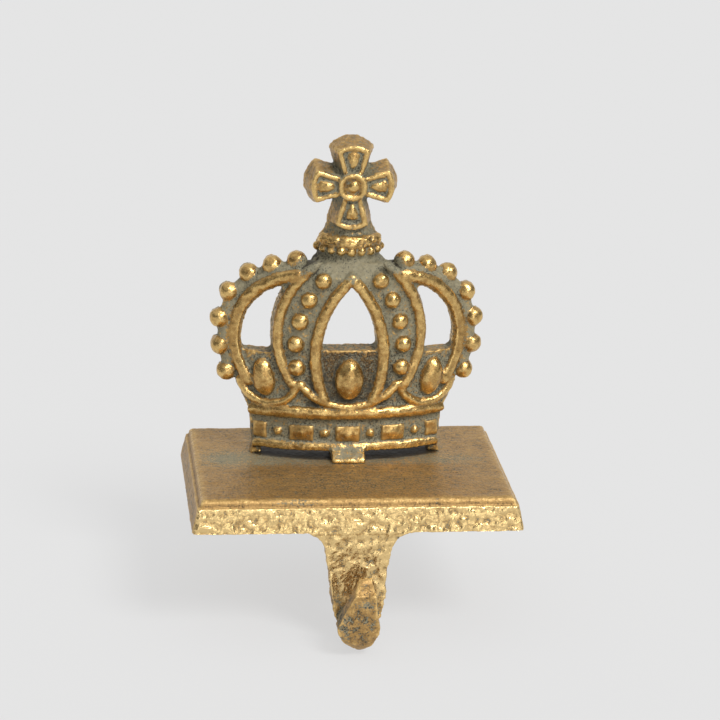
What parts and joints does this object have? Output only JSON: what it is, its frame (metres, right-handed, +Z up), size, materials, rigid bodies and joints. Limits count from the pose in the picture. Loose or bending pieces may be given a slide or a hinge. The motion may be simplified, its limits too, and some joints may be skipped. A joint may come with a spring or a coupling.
{
  "type": "mantel stocking holder",
  "caption": "Weighted plate with an openwork crown on top and an upturned hook below its front edge, for hanging a stocking from a mantel shelf.",
  "frame": {"origin": "middle of the plate's underside, where it stands on the mantel", "axes": "+Z up, -Y towards the front, where the hook is, +X towards the viewer's right"},
  "size_m": [0.13, 0.111, 0.1882],
  "materials": {
    "base_gold": "rough cast, antique gold with grey-green patina",
    "crown_gold": "rough cast, antique gold rubbed bright on the ridges",
    "screw_steel": "zinc plated"
  },
  "bodies": {
    "root": {"base_and_hook": "base_gold", "crown": "crown_gold", "fixing_screw": "screw_steel"}
  },
  "joints": []
}
